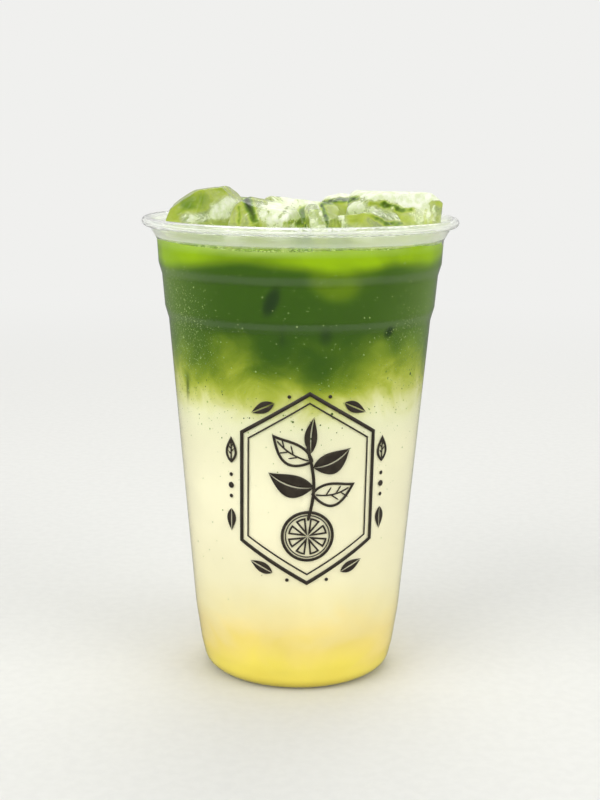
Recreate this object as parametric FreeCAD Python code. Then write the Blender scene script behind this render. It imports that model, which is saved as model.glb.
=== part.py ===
import FreeCAD, Part
import math
import os

# A thin clear takeaway cup, filled with an iced drink in three layers.
# Units are millimetres. Z is up, the cup's axis is Z, and the cup stands on
# Z = 0. The cup is one thermoformed sheet: everything about it is read from
# the outline of its outer face, and the inner face is that outline moved in
# by the wall.

V = FreeCAD.Vector

# ---- the cup ---------------------------------------------------------------
CUP_HEIGHT = 144.6        # floor to the top of the rolled rim
RIM_DIAMETER = 98.0       # over the rolled rim
RIM_BEAD = 2.7            # thickness of the roll, both ways
RIM_TUCK = 0.25           # gap left between the roll's edge and the neck
WALL = 0.45               # sheet thickness

NECK_HEIGHT = 4.1         # cone from the roll down to the stacking band
NECK_STEP = 2.3           # how far that cone comes in
NECK_BEND = 1.0

STACK_BAND = 7.2          # height of the nearly straight stacking band
STACK_TAPER = 0.06        # radius lost per millimetre of height
UPPER_LEDGE_HEIGHT = 3.6
UPPER_LEDGE_STEP = 1.05
RIB_BAND = 9.8            # band between the two ledges
LOWER_LEDGE_HEIGHT = 4.0
LOWER_LEDGE_STEP = 1.15
LEDGE_BEND = 0.9          # bend radius where a ledge meets a band
BODY_TAPER = 0.086        # the long wall's taper, radius per millimetre

HEEL_HEIGHT = 20.0        # where the long wall starts to turn in
HEEL_STEP = 1.75          # radius lost down the heel
HEEL_BEND = 40.0
FOOT_HEIGHT = 8.2         # where the heel meets the foot
FOOT_STEP = 1.9           # radius lost down the foot
FOOT_BEND = 12.0
FOOT_CORNER = 5.1         # round corner onto the standing ring

RING_INSET = 6.0          # from the foot's sharp corner to the ring's inner edge
RING_BEND = 1.0
PUNT_RISE = 4.0           # how high the base panel is pushed up
PUNT_DRAFT = 1.6          # how far the punt's side leans in
PANEL_DISH = 10.0         # radius of the raised disc in the base panel
PANEL_STEP = 0.6          # how much higher that disc stands
PANEL_DRAFT = 0.8
PANEL_BEND = 0.5

# ---- the drink -------------------------------------------------------------
HEADSPACE = 7.6           # rim top down to the drink's surface
SODA_TOP = 98.0           # height where the pale soda meets the green tea
SYRUP_TOP = 22.0          # height where the golden syrup ends
DRINK_GAP = 0.05          # drink to cup wall, and drink to ice

# ---- the ice ---------------------------------------------------------------
ICE_WALL_GAP = 0.5        # between a block and the cup
ICE_GAP = 0.7             # between one block and the next
ICE_EDGE = 2.6            # melted edge radius
ICE_DRAFT = 0.05          # side lean of a moulded block, per millimetre


class Block:
    """One block of ice that stands out of the drink.

    bearing turns round the cup's axis from +X, and inset is measured in from
    the cup's inner wall at the surface to the block's middle. rise is the
    height of its top above the surface. turn spins it about Z, and lean tips
    it towards +X and +Y. Each chip is a broken face: the direction it looks,
    and how much it takes off the block's furthest point that way.
    """

    def __init__(self, name, bearing, inset, size, rise, turn, lean, chips=()):
        self.name = name
        self.bearing = bearing
        self.inset = inset
        self.width, self.depth, self.height = size
        self.rise = rise
        self.turn = turn
        self.lean = lean
        self.chips = chips

    def reach(self):
        """Half the block's mean width, its share when blocks meet."""
        return (self.width + self.depth) / 4.0


BLOCKS = [
    Block("ice_left", 186.0, 14.6, (28.0, 29.0, 29.0), 17.6, 6.0, (-8.0, 1.0),
          [((-0.56, -0.06, 0.83), 4.8), ((0.74, -0.10, 0.66), 5.4), ((0.42, -0.86, 0.30), 6.0),
           ((-0.40, -0.76, 0.50), 5.8), ((-0.20, 0.80, 0.56), 6.0), ((-0.95, 0.0, 0.31), 3.6)]),
    Block("ice_front_left", 246.0, 18.0, (21.0, 23.0, 26.0), 14.3, -14.0, (5.0, -7.0),
          [((-0.45, -0.55, 0.70), 4.5), ((0.55, 0.30, 0.78), 4.0)]),
    Block("ice_slab", 281.5, 15.6, (5.6, 21.0, 26.0), 12.6, 5.0, (-9.0, -3.0),
          [((0.10, -0.75, 0.65), 3.5)]),
    Block("ice_front_right", 311.0, 13.6, (24.0, 20.0, 24.0), 11.4, 24.0, (-6.0, 9.0),
          [((0.62, -0.30, 0.72), 4.6), ((-0.50, -0.45, 0.74), 3.6)]),
    Block("ice_right", 1.0, 14.4, (31.5, 26.0, 27.0), 15.9, -5.0, (1.0, 2.0),
          [((0.62, -0.05, 0.78), 2.0), ((-0.50, -0.20, 0.84), 4.0), ((0.25, -0.88, 0.40), 5.4),
           ((0.55, 0.65, 0.52), 5.0)]),
    Block("ice_middle", 118.0, 41.0, (26.0, 22.0, 26.0), 14.2, 29.0, (6.0, 5.0),
          [((0.35, -0.45, 0.82), 4.2), ((-0.60, 0.35, 0.72), 4.4)]),
    Block("ice_back_right", 56.0, 13.8, (23.0, 24.0, 25.0), 13.6, 16.0, (5.0, -4.0),
          [((0.45, 0.60, 0.66), 5.2), ((-0.62, 0.20, 0.76), 3.6)]),
    Block("ice_back_left", 141.0, 14.0, (23.0, 25.0, 26.0), 12.4, -20.0, (-5.0, -6.0),
          [((-0.55, 0.55, 0.63), 5.6), ((0.40, -0.30, 0.86), 3.2)]),
    Block("ice_back", 99.0, 14.0, (18.0, 15.0, 23.0), 9.6, -9.0, (3.0, 8.0),
          [((0.20, 0.75, 0.63), 3.0)]),
]

# ---- heights and radii worked out from the sizes above ----------------------
RIM_RADIUS = RIM_DIAMETER / 2.0
ROLL_INNER = RIM_RADIUS - RIM_BEAD
ROLL_BOTTOM = CUP_HEIGHT - RIM_BEAD
SURFACE = CUP_HEIGHT - HEADSPACE


class Corner:
    """A corner of an outline in the half plane (radius, height)."""

    def __init__(self, r, z, bend=0.0):
        self.r = r
        self.z = z
        self.bend = bend


def wall_corners():
    """Outer face of the cup from the axis out to the top of the neck."""
    neck_r, neck_z = ROLL_INNER + WALL, ROLL_BOTTOM
    band_r, band_z = neck_r - NECK_STEP, neck_z - NECK_HEIGHT
    ledge_r, ledge_z = band_r - STACK_TAPER * STACK_BAND, band_z - STACK_BAND
    rib_r, rib_z = ledge_r - UPPER_LEDGE_STEP, ledge_z - UPPER_LEDGE_HEIGHT
    low_r, low_z = rib_r - BODY_TAPER * RIB_BAND, rib_z - RIB_BAND
    body_r, body_z = low_r - LOWER_LEDGE_STEP, low_z - LOWER_LEDGE_HEIGHT
    heel_r = body_r - BODY_TAPER * (body_z - HEEL_HEIGHT)
    foot_r = heel_r - HEEL_STEP
    base_r = foot_r - FOOT_STEP
    ring_r = base_r - RING_INSET
    punt_r = ring_r - PUNT_DRAFT
    return [
        Corner(0.0, PUNT_RISE + PANEL_STEP),
        Corner(PANEL_DISH - PANEL_DRAFT, PUNT_RISE + PANEL_STEP, PANEL_BEND),
        Corner(PANEL_DISH, PUNT_RISE, PANEL_BEND),
        Corner(punt_r, PUNT_RISE, RING_BEND),
        Corner(ring_r, 0.0, RING_BEND),
        Corner(base_r, 0.0, FOOT_CORNER),
        Corner(foot_r, FOOT_HEIGHT, FOOT_BEND),
        Corner(heel_r, HEEL_HEIGHT, HEEL_BEND),
        Corner(body_r, body_z, LEDGE_BEND),
        Corner(low_r, low_z, LEDGE_BEND),
        Corner(rib_r, rib_z, LEDGE_BEND),
        Corner(ledge_r, ledge_z, LEDGE_BEND),
        Corner(band_r, band_z, NECK_BEND),
        Corner(neck_r, neck_z, NECK_BEND),
    ]


def roll_corners():
    """The rim's roll: up beside the mouth, over, down and back to the neck."""
    bend = RIM_BEAD / 2.0 - WALL
    inner, outer = ROLL_INNER + WALL, RIM_RADIUS - WALL
    top, bottom = CUP_HEIGHT - WALL, ROLL_BOTTOM + WALL
    return [
        Corner(inner, top, bend),
        Corner(outer, top, bend),
        Corner(outer, bottom, bend),
        Corner(inner + RIM_TUCK, bottom),
    ]


def moved_in(corners, distance):
    """The outline moved to its left, which is into the cup, by a distance."""
    moved = []
    for i, corner in enumerate(corners):
        before = corners[max(i - 1, 0)]
        after = corners[min(i + 1, len(corners) - 1)]
        normals = []
        for a, b in ((before, corner), (corner, after)):
            length = math.hypot(b.r - a.r, b.z - a.z)
            if length > 0.0:
                normals.append((-(b.z - a.z) / length, (b.r - a.r) / length))
        first, last = normals[0], normals[-1]
        share = distance / (1.0 + first[0] * last[0] + first[1] * last[1])
        left_turn = first[0] * last[1] - first[1] * last[0] > 0.0
        bend = corner.bend + (-distance if left_turn else distance)
        moved.append(Corner(corner.r + share * (first[0] + last[0]),
                            corner.z + share * (first[1] + last[1]),
                            max(bend, 0.0) if corner.bend else 0.0))
    return moved


def outline_edges(corners):
    """Straight edges between the corners, with each bend as a tangent arc."""
    edges = []
    start = V(corners[0].r, 0, corners[0].z)
    for before, corner, after in zip(corners, corners[1:], corners[2:]):
        point = V(corner.r, 0, corner.z)
        back = (V(before.r, 0, before.z) - point).normalize()
        ahead = (V(after.r, 0, after.z) - point).normalize()
        turn = math.pi - back.getAngle(ahead)
        if corner.bend <= 0.0:
            edges.append(Part.makeLine(start, point))
            start = point
            continue
        tangent = corner.bend * math.tan(turn / 2.0)
        middle = (back + ahead).normalize() * (corner.bend * (1.0 / math.cos(turn / 2.0) - 1.0))
        arc_start, arc_end = point + back * tangent, point + ahead * tangent
        if start.distanceToPoint(arc_start) > 1e-7:
            edges.append(Part.makeLine(start, arc_start))
        edges.append(Part.Arc(arc_start, point + middle, arc_end).toShape())
        start = arc_end
    edges.append(Part.makeLine(start, V(corners[-1].r, 0, corners[-1].z)))
    return edges


def revolved(edges):
    """A solid of revolution from the edges of a closed outline."""
    wire = Part.Wire(Part.__sortEdges__(edges))
    turned = Part.Face(wire).revolve(V(0, 0, 0), V(0, 0, 1), 360)
    solid = turned if turned.ShapeType == "Solid" else turned.Solids[0]
    if solid.Volume < 0.0:
        solid.reverse()
    return solid


def make_cup():
    """The cup: one sheet from the base panel to the edge of the rolled rim."""
    outer = wall_corners() + roll_corners()
    inner = moved_in(outer, WALL)
    ends = [(outer[0], inner[0]), (outer[-1], inner[-1])]
    caps = [Part.makeLine(V(a.r, 0, a.z), V(b.r, 0, b.z)) for a, b in ends]
    return revolved(outline_edges(outer) + outline_edges(inner) + caps)


def inner_radius(height):
    """Radius of the cup's inner face at a height on its upper wall."""
    corners = moved_in(wall_corners(), WALL)
    for low, high in zip(corners, corners[1:]):
        if low.z <= height <= high.z and low.r > PANEL_DISH:
            return low.r + (high.r - low.r) * (height - low.z) / (high.z - low.z)
    return ROLL_INNER


def room(gap, top):
    """All the space inside the cup, a gap clear of it, up to a height."""
    corners = moved_in(wall_corners(), WALL + gap)
    mouth = Corner(ROLL_INNER - gap, top)
    corners = corners + [mouth, Corner(0.0, top)]
    axis = Part.makeLine(V(0, 0, top), V(0, 0, corners[0].z))
    return revolved(outline_edges(corners) + [axis])


def slab(low, high):
    """A flat slice of space wider than the cup, between two heights."""
    side = 2.0 * RIM_DIAMETER
    return Part.makeBox(side, side, high - low, V(-side / 2, -side / 2, low))


def beyond(point, direction):
    """The half of space that lies past a plane through a point."""
    side = 4.0 * RIM_DIAMETER
    box = Part.makeBox(side, side, side, V(-side / 2, -side / 2, 0))
    box.Placement = FreeCAD.Placement(point, FreeCAD.Rotation(V(0, 0, 1), direction))
    return box


def block_middle(block, height=0.0):
    """Where a block's middle line stands, at a height."""
    out = inner_radius(SURFACE) - block.inset
    bearing = math.radians(block.bearing)
    return V(out * math.cos(bearing), out * math.sin(bearing), height)


def raw_block(block):
    """A moulded block: tapered, with melted edges, turned and leaned."""
    w, d, h = block.width / 2.0, block.depth / 2.0, block.height
    lean_in = ICE_DRAFT * h / 2.0
    # makeWedge tapers along Y, so the block is stood up to taper along Z
    solid = Part.makeWedge(-w, 0.0, -d, -d + lean_in, -w + lean_in,
                           w, h, d, d - lean_in, w - lean_in)
    solid.rotate(V(0, 0, 0), V(1, 0, 0), 90)
    solid.translate(V(0, 0, -h))
    edge = min(ICE_EDGE, 0.4 * min(block.width, block.depth) - lean_in)
    solid = solid.makeFillet(edge, solid.Edges)
    solid.rotate(V(0, 0, 0), V(0, 0, 1), block.turn)
    solid.rotate(V(0, 0, -h / 2.0), V(0, 1, 0), block.lean[0])
    solid.rotate(V(0, 0, -h / 2.0), V(1, 0, 0), -block.lean[1])
    place = block_middle(block, SURFACE)
    solid.translate(V(place.x, place.y, SURFACE + block.rise - solid.BoundBox.ZMax))
    return solid


def chipped(solid, chips):
    """The block with its broken faces."""
    for direction, depth in chips:
        look = V(*direction).normalize()
        points, _ = solid.tessellate(0.2)
        reach = max(point.dot(look) for point in points)
        solid = solid.cut(beyond(look * (reach - depth), look))
    return solid


def parted(solid, block):
    """The block cut back to its own side of every neighbour."""
    here = block_middle(block)
    for other in BLOCKS:
        if other is block:
            continue
        there = block_middle(other)
        way = there - here
        share = block.reach() / (block.reach() + other.reach())
        edge = here + way * share - V(way).normalize() * (ICE_GAP / 2.0)
        solid = solid.cut(beyond(edge, way))
    return solid


def make_ice():
    """Every block, by name."""
    free = room(ICE_WALL_GAP, 2.0 * CUP_HEIGHT)
    return {block.name: parted(chipped(raw_block(block), block.chips), block).common(free).Solids[0]
            for block in BLOCKS}


def make_drink(ice):
    """The three layers, from the bottom up, the top one cut round the ice."""
    full = room(DRINK_GAP, SURFACE)
    layers = {
        "syrup_layer": full.common(slab(0.0, SYRUP_TOP)),
        "soda_layer": full.common(slab(SYRUP_TOP, SODA_TOP)),
        "matcha_layer": full.common(slab(SODA_TOP, SURFACE)),
    }
    for name in ("soda_layer", "matcha_layer"):
        for block in ice.values():
            layers[name] = layers[name].cut(block)
    return {name: layer.Solids[0] for name, layer in layers.items()}


def main():
    os.makedirs("parts", exist_ok=True)
    ice = make_ice()
    parts = {"cup": make_cup()}
    parts.update(make_drink(ice))
    parts.update(ice)
    for name, solid in parts.items():
        solid.exportStep("parts/%s.step" % name)
        print("%-16s %9.1f mm3  valid %s" % (name, solid.Volume, solid.isValid()))


main()
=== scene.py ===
"""Looks of a clear takeaway cup of iced matcha soda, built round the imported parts.

Lengths in the classes are millimetres and bearings are degrees round the cup's axis: 0 is the
printed front at -Y and 90 is +X. Meshes are written in metres.
"""

import logging
import math
from dataclasses import dataclass, field
from enum import Enum

import bpy
import numpy as np
from mathutils import Matrix, Vector
from mathutils.bvhtree import BVHTree


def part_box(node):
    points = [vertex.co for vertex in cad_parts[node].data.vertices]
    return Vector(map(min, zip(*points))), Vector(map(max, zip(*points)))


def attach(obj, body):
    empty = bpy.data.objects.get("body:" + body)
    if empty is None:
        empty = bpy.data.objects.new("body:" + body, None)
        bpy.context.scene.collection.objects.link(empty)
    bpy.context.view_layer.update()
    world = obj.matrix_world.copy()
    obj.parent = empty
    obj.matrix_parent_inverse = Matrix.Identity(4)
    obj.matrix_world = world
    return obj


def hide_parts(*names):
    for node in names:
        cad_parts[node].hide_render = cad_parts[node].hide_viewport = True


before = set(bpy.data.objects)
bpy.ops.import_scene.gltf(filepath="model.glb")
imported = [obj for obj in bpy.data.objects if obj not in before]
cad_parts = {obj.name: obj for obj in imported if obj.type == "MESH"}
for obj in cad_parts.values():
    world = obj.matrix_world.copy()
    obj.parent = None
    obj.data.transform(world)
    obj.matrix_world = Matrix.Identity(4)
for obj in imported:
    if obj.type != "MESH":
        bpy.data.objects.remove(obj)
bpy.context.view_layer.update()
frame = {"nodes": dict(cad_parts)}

LOG = logging.getLogger("cup")
MM = 0.001
BODY = "root"

Array = np.ndarray
Colour = tuple[int, int, int]
Pair = tuple[float, float]
Socket = bpy.types.NodeSocket
Material = bpy.types.Material


class Slot(Enum):
    """The record's material slots."""

    SHEET = "clear_plastic"
    SYRUP = "syrup"
    SODA = "soda"
    MATCHA = "matcha"
    ICE = "ice"
    INK = "print_ink"


def tone(red: int, green: int, blue: int) -> tuple[float, float, float, float]:
    """Turns a colour given on the usual 0-255 scale into linear light.

    Args:
        red, green, blue: the colour as it looks on screen.

    Returns:
        The linear colour with an alpha of 1.
    """
    screen = np.array([red, green, blue]) / 255.0
    linear = np.where(screen <= 0.04045, screen / 12.92, ((screen + 0.055) / 1.055) ** 2.4)
    return (*map(float, linear), 1.0)


def added(name: str, data: bpy.types.ID) -> bpy.types.Object:
    """Adds a new object to the scene, at the origin.

    Args:
        name: its name.
        data: its mesh, camera or lamp.

    Returns:
        The object.
    """
    made = bpy.data.objects.new(name, data)
    bpy.context.scene.collection.objects.link(made)
    return made


@dataclass
class Surface:
    """Points, faces and named values of one surface, in millimetres.

    Edges along a hard row of its points are sharp, so that caps don't shade the side.
    """

    points: Array
    quads: Array
    triangles: Array = field(default_factory=lambda: np.zeros((0, 3), int))
    values: dict[str, Array] = field(default_factory=dict)
    finish: Array | None = None
    hard: tuple[int, ...] = ()
    columns: int = 256

    @staticmethod
    def joined(parts: list["Surface"]) -> "Surface":
        """Joins surfaces into one.

        Args:
            parts: the surfaces, which all carry the same named values.

        Returns:
            One surface with every part's points and faces.
        """
        starts = np.cumsum([0] + [len(part.points) for part in parts[:-1]])
        return Surface(
            np.concatenate([part.points for part in parts]),
            np.concatenate([part.quads + at for part, at in zip(parts, starts)]),
            np.concatenate([part.triangles + at for part, at in zip(parts, starts)]),
            {name: np.concatenate([part.values[name] for part in parts]) for name in parts[0].values},
        )

    def object(self, name: str) -> bpy.types.Object:
        """Writes the surface as a smooth mesh object in metres.

        Args:
            name: the object's name.

        Returns:
            The new object, at the origin.
        """
        mesh = bpy.data.meshes.new(name)
        faces = self.quads.tolist() + self.triangles.tolist()
        mesh.from_pydata((self.points * MM).tolist(), [], faces)
        mesh.update()
        for key, numbers in self.values.items():
            layer = mesh.attributes.new(key, "FLOAT", "POINT")
            layer.data.foreach_set("value", np.asarray(numbers, np.float32))
        mesh.polygons.foreach_set("use_smooth", np.ones(len(faces), bool))
        if self.finish is not None:
            mesh.polygons.foreach_set("material_index", self.finish.astype(np.int32))
        if self.hard:
            ends = np.zeros(len(mesh.edges) * 2, int)
            mesh.edges.foreach_get("vertices", ends)
            rows = ends.reshape(-1, 2) // self.columns
            layer = mesh.attributes.new("sharp_edge", "BOOLEAN", "EDGE")
            layer.data.foreach_set("value", (rows[:, 0] == rows[:, 1]) & np.isin(rows[:, 0], self.hard))
        return added(name, mesh)


def grid_quads(rows: int, columns: int, round_: bool = False) -> Array:
    """Faces of a grid whose points run along the columns first.

    Args:
        rows: number of rows of points.
        columns: number of points in a row.
        round_: whether the last column joins the first.

    Returns:
        Four point numbers per face, turning from columns to rows.
    """
    across = np.arange(columns if round_ else columns - 1)
    row = np.arange(rows - 1)[:, None] * columns
    here, beside = row + across, row + (across + 1) % columns
    return np.stack([here, beside, beside + columns, here + columns], -1).reshape(-1, 4)


def ball_surface(rows: int, columns: int, reach: Array | float, centre: Array) -> Surface:
    """A closed ball-like surface: from the centre, each direction goes out by its reach.

    Args:
        rows: rings between the poles.
        columns: points in a ring.
        reach: one number, or one per point in the order of ball_directions.
        centre: the middle.

    Returns:
        The surface, faces outwards.
    """
    aim = ball_directions(rows, columns)
    points = centre + aim * np.broadcast_to(np.asarray(reach, float).reshape(-1, 1), (len(aim), 1))
    ring = np.arange(columns)
    top, bottom = rows * columns, rows * columns + 1
    last = (rows - 1) * columns
    caps = np.concatenate([
        np.stack([np.full(columns, top), ring, (ring + 1) % columns], -1),
        np.stack([np.full(columns, bottom), last + (ring + 1) % columns, last + ring], -1)])
    return Surface(points, grid_quads(rows, columns, True)[:, ::-1], caps)


def ball_directions(rows: int, columns: int) -> Array:
    """Directions of ball_surface: rings from the top down, then the top and bottom poles.

    Args:
        rows: rings between the poles.
        columns: directions in a ring.

    Returns:
        One unit direction a row.
    """
    down = np.pi * (np.arange(rows) + 1.0)[:, None] / (rows + 1)
    turn = 2 * np.pi * np.arange(columns)[None, :] / columns
    rings = np.stack([np.sin(down) * np.cos(turn), np.sin(down) * np.sin(turn),
                      np.cos(down) * np.ones_like(turn)], -1).reshape(-1, 3)
    return np.concatenate([rings, [[0, 0, 1], [0, 0, -1]]])


def beads(centres: Array, radii: Array, rows: int, columns: int, flat: float = 1.0) -> Surface:
    """Many small balls as one surface, worked out together.

    Args:
        centres, radii: one middle and one radius per bead.
        rows, columns: rings and points per ring of each bead.
        flat: how much of its size a bead keeps along its own outward bearing.

    Returns:
        The joined beads.
    """
    unit = ball_surface(rows, columns, 1.0, np.zeros(3))
    steps = unit.points[None] * radii[:, None, None]
    if flat < 1:
        away = centres * [1, 1, 0] / np.maximum(np.hypot(centres[:, 0], centres[:, 1]), 1e-9)[:, None]
        along = np.einsum("bpk,bk->bp", steps, away)
        steps = steps - ((1 - flat) * along)[..., None] * away[:, None, :]
    shift = (np.arange(len(centres)) * len(unit.points))[:, None, None]
    return Surface((centres[:, None] + steps).reshape(-1, 3), (unit.quads[None] + shift).reshape(-1, 4),
                   (unit.triangles[None] + shift).reshape(-1, 3))


def round_points(bearing: Array, radius: Array, height: Array) -> Array:
    """Points from a bearing in degrees, a radius and a height."""
    turn = np.radians(bearing)
    return np.stack(np.broadcast_arrays(radius * np.sin(turn), -radius * np.cos(turn), height), -1)


def place(surface: Surface, name: str, slot: Slot, finishes: list[Material],
          *nodes: str) -> bpy.types.Object:
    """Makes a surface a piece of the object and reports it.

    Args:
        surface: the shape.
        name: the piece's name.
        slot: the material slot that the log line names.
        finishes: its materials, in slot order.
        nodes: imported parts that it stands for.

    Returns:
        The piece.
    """
    piece = surface.object(name)
    for finish in finishes:
        piece.data.materials.append(finish)
    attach(piece, BODY)
    if nodes:
        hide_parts(*nodes)
    LOG.info("%s: %d faces, slot %s", name, len(piece.data.polygons), slot.value)
    return piece


class Nodes:
    """A node tree, with short calls to add, feed and join nodes."""

    def __init__(self, tree: bpy.types.NodeTree) -> None:
        """Starts from an empty tree."""
        self.tree = tree
        self.tree.nodes.clear()

    def feed(self, target: Socket, term: object) -> None:
        """Joins an output to an input, or sets the input.

        Args:
            target: the input.
            term: an output, or a number, colour or vector.
        """
        if isinstance(term, Socket):
            self.tree.links.new(term, target)
        else:
            target.default_value = term

    def add(self, kind: str, feeds: dict | None = None, **settings: object) -> bpy.types.Node:
        """Adds a node.

        Args:
            kind: its type.
            feeds: what each input takes, by its name or number.
            settings: its properties, which are set before the inputs.

        Returns:
            The node.
        """
        node = self.tree.nodes.new(kind)
        for key, setting in settings.items():
            setattr(node, key, setting)
        for key, term in (feeds or {}).items():
            self.feed(node.inputs[key], term)
        return node

    def math(self, operation: str, *terms: object) -> Socket:
        """A Math node of the terms, which are numbers or outputs."""
        return self.add("ShaderNodeMath", dict(enumerate(terms)), operation=operation).outputs[0]

    def mixed(self, share: object, first: Socket, second: Socket) -> Socket:
        """A shader mix: first where the share is 0, second where it is 1."""
        return self.add("ShaderNodeMixShader", {0: share, 1: first, 2: second}).outputs[0]


class Shader(Nodes):
    """One material's nodes round a Principled shader, patterned in the object's coordinates."""

    def __init__(self, name: str) -> None:
        """Starts a material whose Principled shader feeds the output.

        Args:
            name: the material's name.
        """
        self.material = bpy.data.materials.new(name)
        self.material.use_nodes = True
        super().__init__(self.material.node_tree)
        self.body = self.add("ShaderNodeBsdfPrincipled")
        self.output = self.add("ShaderNodeOutputMaterial", {"Surface": self.body.outputs["BSDF"]})
        self.where = self.add("ShaderNodeTexCoord").outputs["Object"]

    def set(self, **sockets: object) -> None:
        """Feeds the shader's own sockets, named with _ for each space."""
        for key, term in sockets.items():
            self.feed(self.body.inputs[key.replace("_", " ")], term)

    def value(self, name: str) -> Socket:
        """A named value of the mesh."""
        return self.add("ShaderNodeAttribute", attribute_name=name).outputs["Fac"]

    def noise(self, scale: float, detail: float = 2.0, roughness: float = 0.5, twist: float = 0.0,
              stretch: tuple[float, float, float] = (1, 1, 1)) -> Socket:
        """Smooth noise from 0 to 1.

        Args:
            scale: waves per metre.
            detail, roughness: octaves and how strong the fine ones are.
            twist: distortion.
            stretch: scale along each axis.

        Returns:
            The noise.
        """
        at = self.add("ShaderNodeMapping", {"Vector": self.where, "Scale": stretch}).outputs["Vector"]
        return self.add("ShaderNodeTexNoise", {"Vector": at, "Scale": scale, "Detail": detail,
                                               "Roughness": roughness, "Distortion": twist}).outputs["Fac"]

    def span(self, source: Socket, low: float, high: float, start: float = 0.0, end: float = 1.0) -> Socket:
        """Maps a range to another smoothly, held at both ends.

        Args:
            source: the value to map.
            low, high: the range it comes from.
            start, end: the range it goes to.

        Returns:
            The mapped value.
        """
        return self.add("ShaderNodeMapRange", {"Value": source, "From Min": low, "From Max": high,
                                               "To Min": start, "To Max": end},
                        interpolation_type="SMOOTHSTEP").outputs["Result"]

    def band(self, source: Socket, start: float, full: float, fade: float, end: float) -> Socket:
        """A share that rises from start to full and falls from fade to end."""
        return self.math("MULTIPLY", self.span(source, start, full), self.span(source, end, fade))

    def blend(self, share: object, first: object, second: object, kind: str = "MIX") -> Socket:
        """A colour mix: first where the share is 0, second where it is 1."""
        return self.add("ShaderNodeMix", {0: share, 6: first, 7: second},
                        data_type="RGBA", blend_type=kind).outputs[2]

    def ramp(self, source: Socket, stops: tuple[tuple[float, Colour], ...], top: float = 1.0) -> Socket:
        """A colour ramp.

        Args:
            source: where along the ramp, from 0 to 1.
            stops: positions up to top and their colours, in order.
            top: the position that stands for 1.

        Returns:
            The colour.
        """
        node = self.add("ShaderNodeValToRGB", {"Fac": source})
        band = node.color_ramp.elements
        stops = [(at / top, tone(*look)) for at, look in stops]
        for position, colour in stops[1:-1]:
            band.new(position).color = colour
        for end, (position, colour) in ((band[0], stops[0]), (band[len(band) - 1], stops[-1])):
            end.position, end.color = position, colour
        return node.outputs["Color"]

    def bump(self, height: Socket, strength: float, depth: float) -> None:
        """Raises the surface's shading by the height, depth metres at most."""
        node = self.add("ShaderNodeBump", {"Strength": strength, "Distance": depth, "Height": height})
        self.set(Normal=node.outputs["Normal"])


@dataclass(frozen=True)
class ClearSheet:
    """Clear thermoformed plastic: slight flow marks, a rough haze on the neck where the sheet was stretched,
    and whitish bands.

    Each band is its low and high edge and the share of light that it keeps from passing, so that the sheet's
    white tint shows. Those along the two ledges, at the neck bend and the thin lines on the rim are painted
    highlights; the broad ones over the neck and the rim are partly the sheet's whitish look and partly
    painted reflection.
    """

    index: float = 1.37
    tint: Colour = (252, 253, 250)
    least: float = 0.002
    whitish_bands_and_highlights: tuple[tuple[float, float, float], ...] = (
        (114.6, 116.4, 0.022), (113.4, 116.6, 0.008), (127.9, 129.9, 0.022), (127.2, 130.4, 0.008),
        (138.4, 141.9, 0.15), (138.9, 139.6, 0.14), (141.7, 145.5, 0.1), (142.8, 143.2, 0.36),
        (141.8, 142.1, 0.24))
    neck: tuple[float, float, float, float] = (138.0, 139.0, 141.4, 142.4)
    neck_haze: float = 0.3

    def make(self) -> Material:
        """Builds the material.

        Returns:
            The finished material.
        """
        shader = Shader("clear_sheet")
        apart = shader.add("ShaderNodeSeparateXYZ", {0: shader.where}).outputs
        height = shader.math("DIVIDE", apart["Z"], MM)
        share: object = self.least
        # Painted highlights and reflection: each band lets less light through, so the white tint shows.
        for low, high, amount in self.whitish_bands_and_highlights:
            band = shader.band(height, low - 0.4, low + 0.5, high - 0.5, high + 0.4)
            share = shader.math("MULTIPLY_ADD", band, amount, share)
        haze_and_sheen = shader.span(shader.noise(90, 3, 0.55, 0.3, (1, 1, 0.35)), 0.35, 0.75, 0.0, 0.05)
        haze_and_sheen = shader.math("MULTIPLY_ADD", shader.band(height, *self.neck), self.neck_haze, haze_and_sheen)
        shader.set(Base_Color=tone(*self.tint), Roughness=haze_and_sheen, IOR=self.index,
                   Transmission_Weight=shader.math("SUBTRACT", 1.0, share))
        shader.bump(shader.noise(55, 2, 0.4, 0.2, (1, 1, 0.22)), 0.2, 0.0006)
        return shader.material


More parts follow.
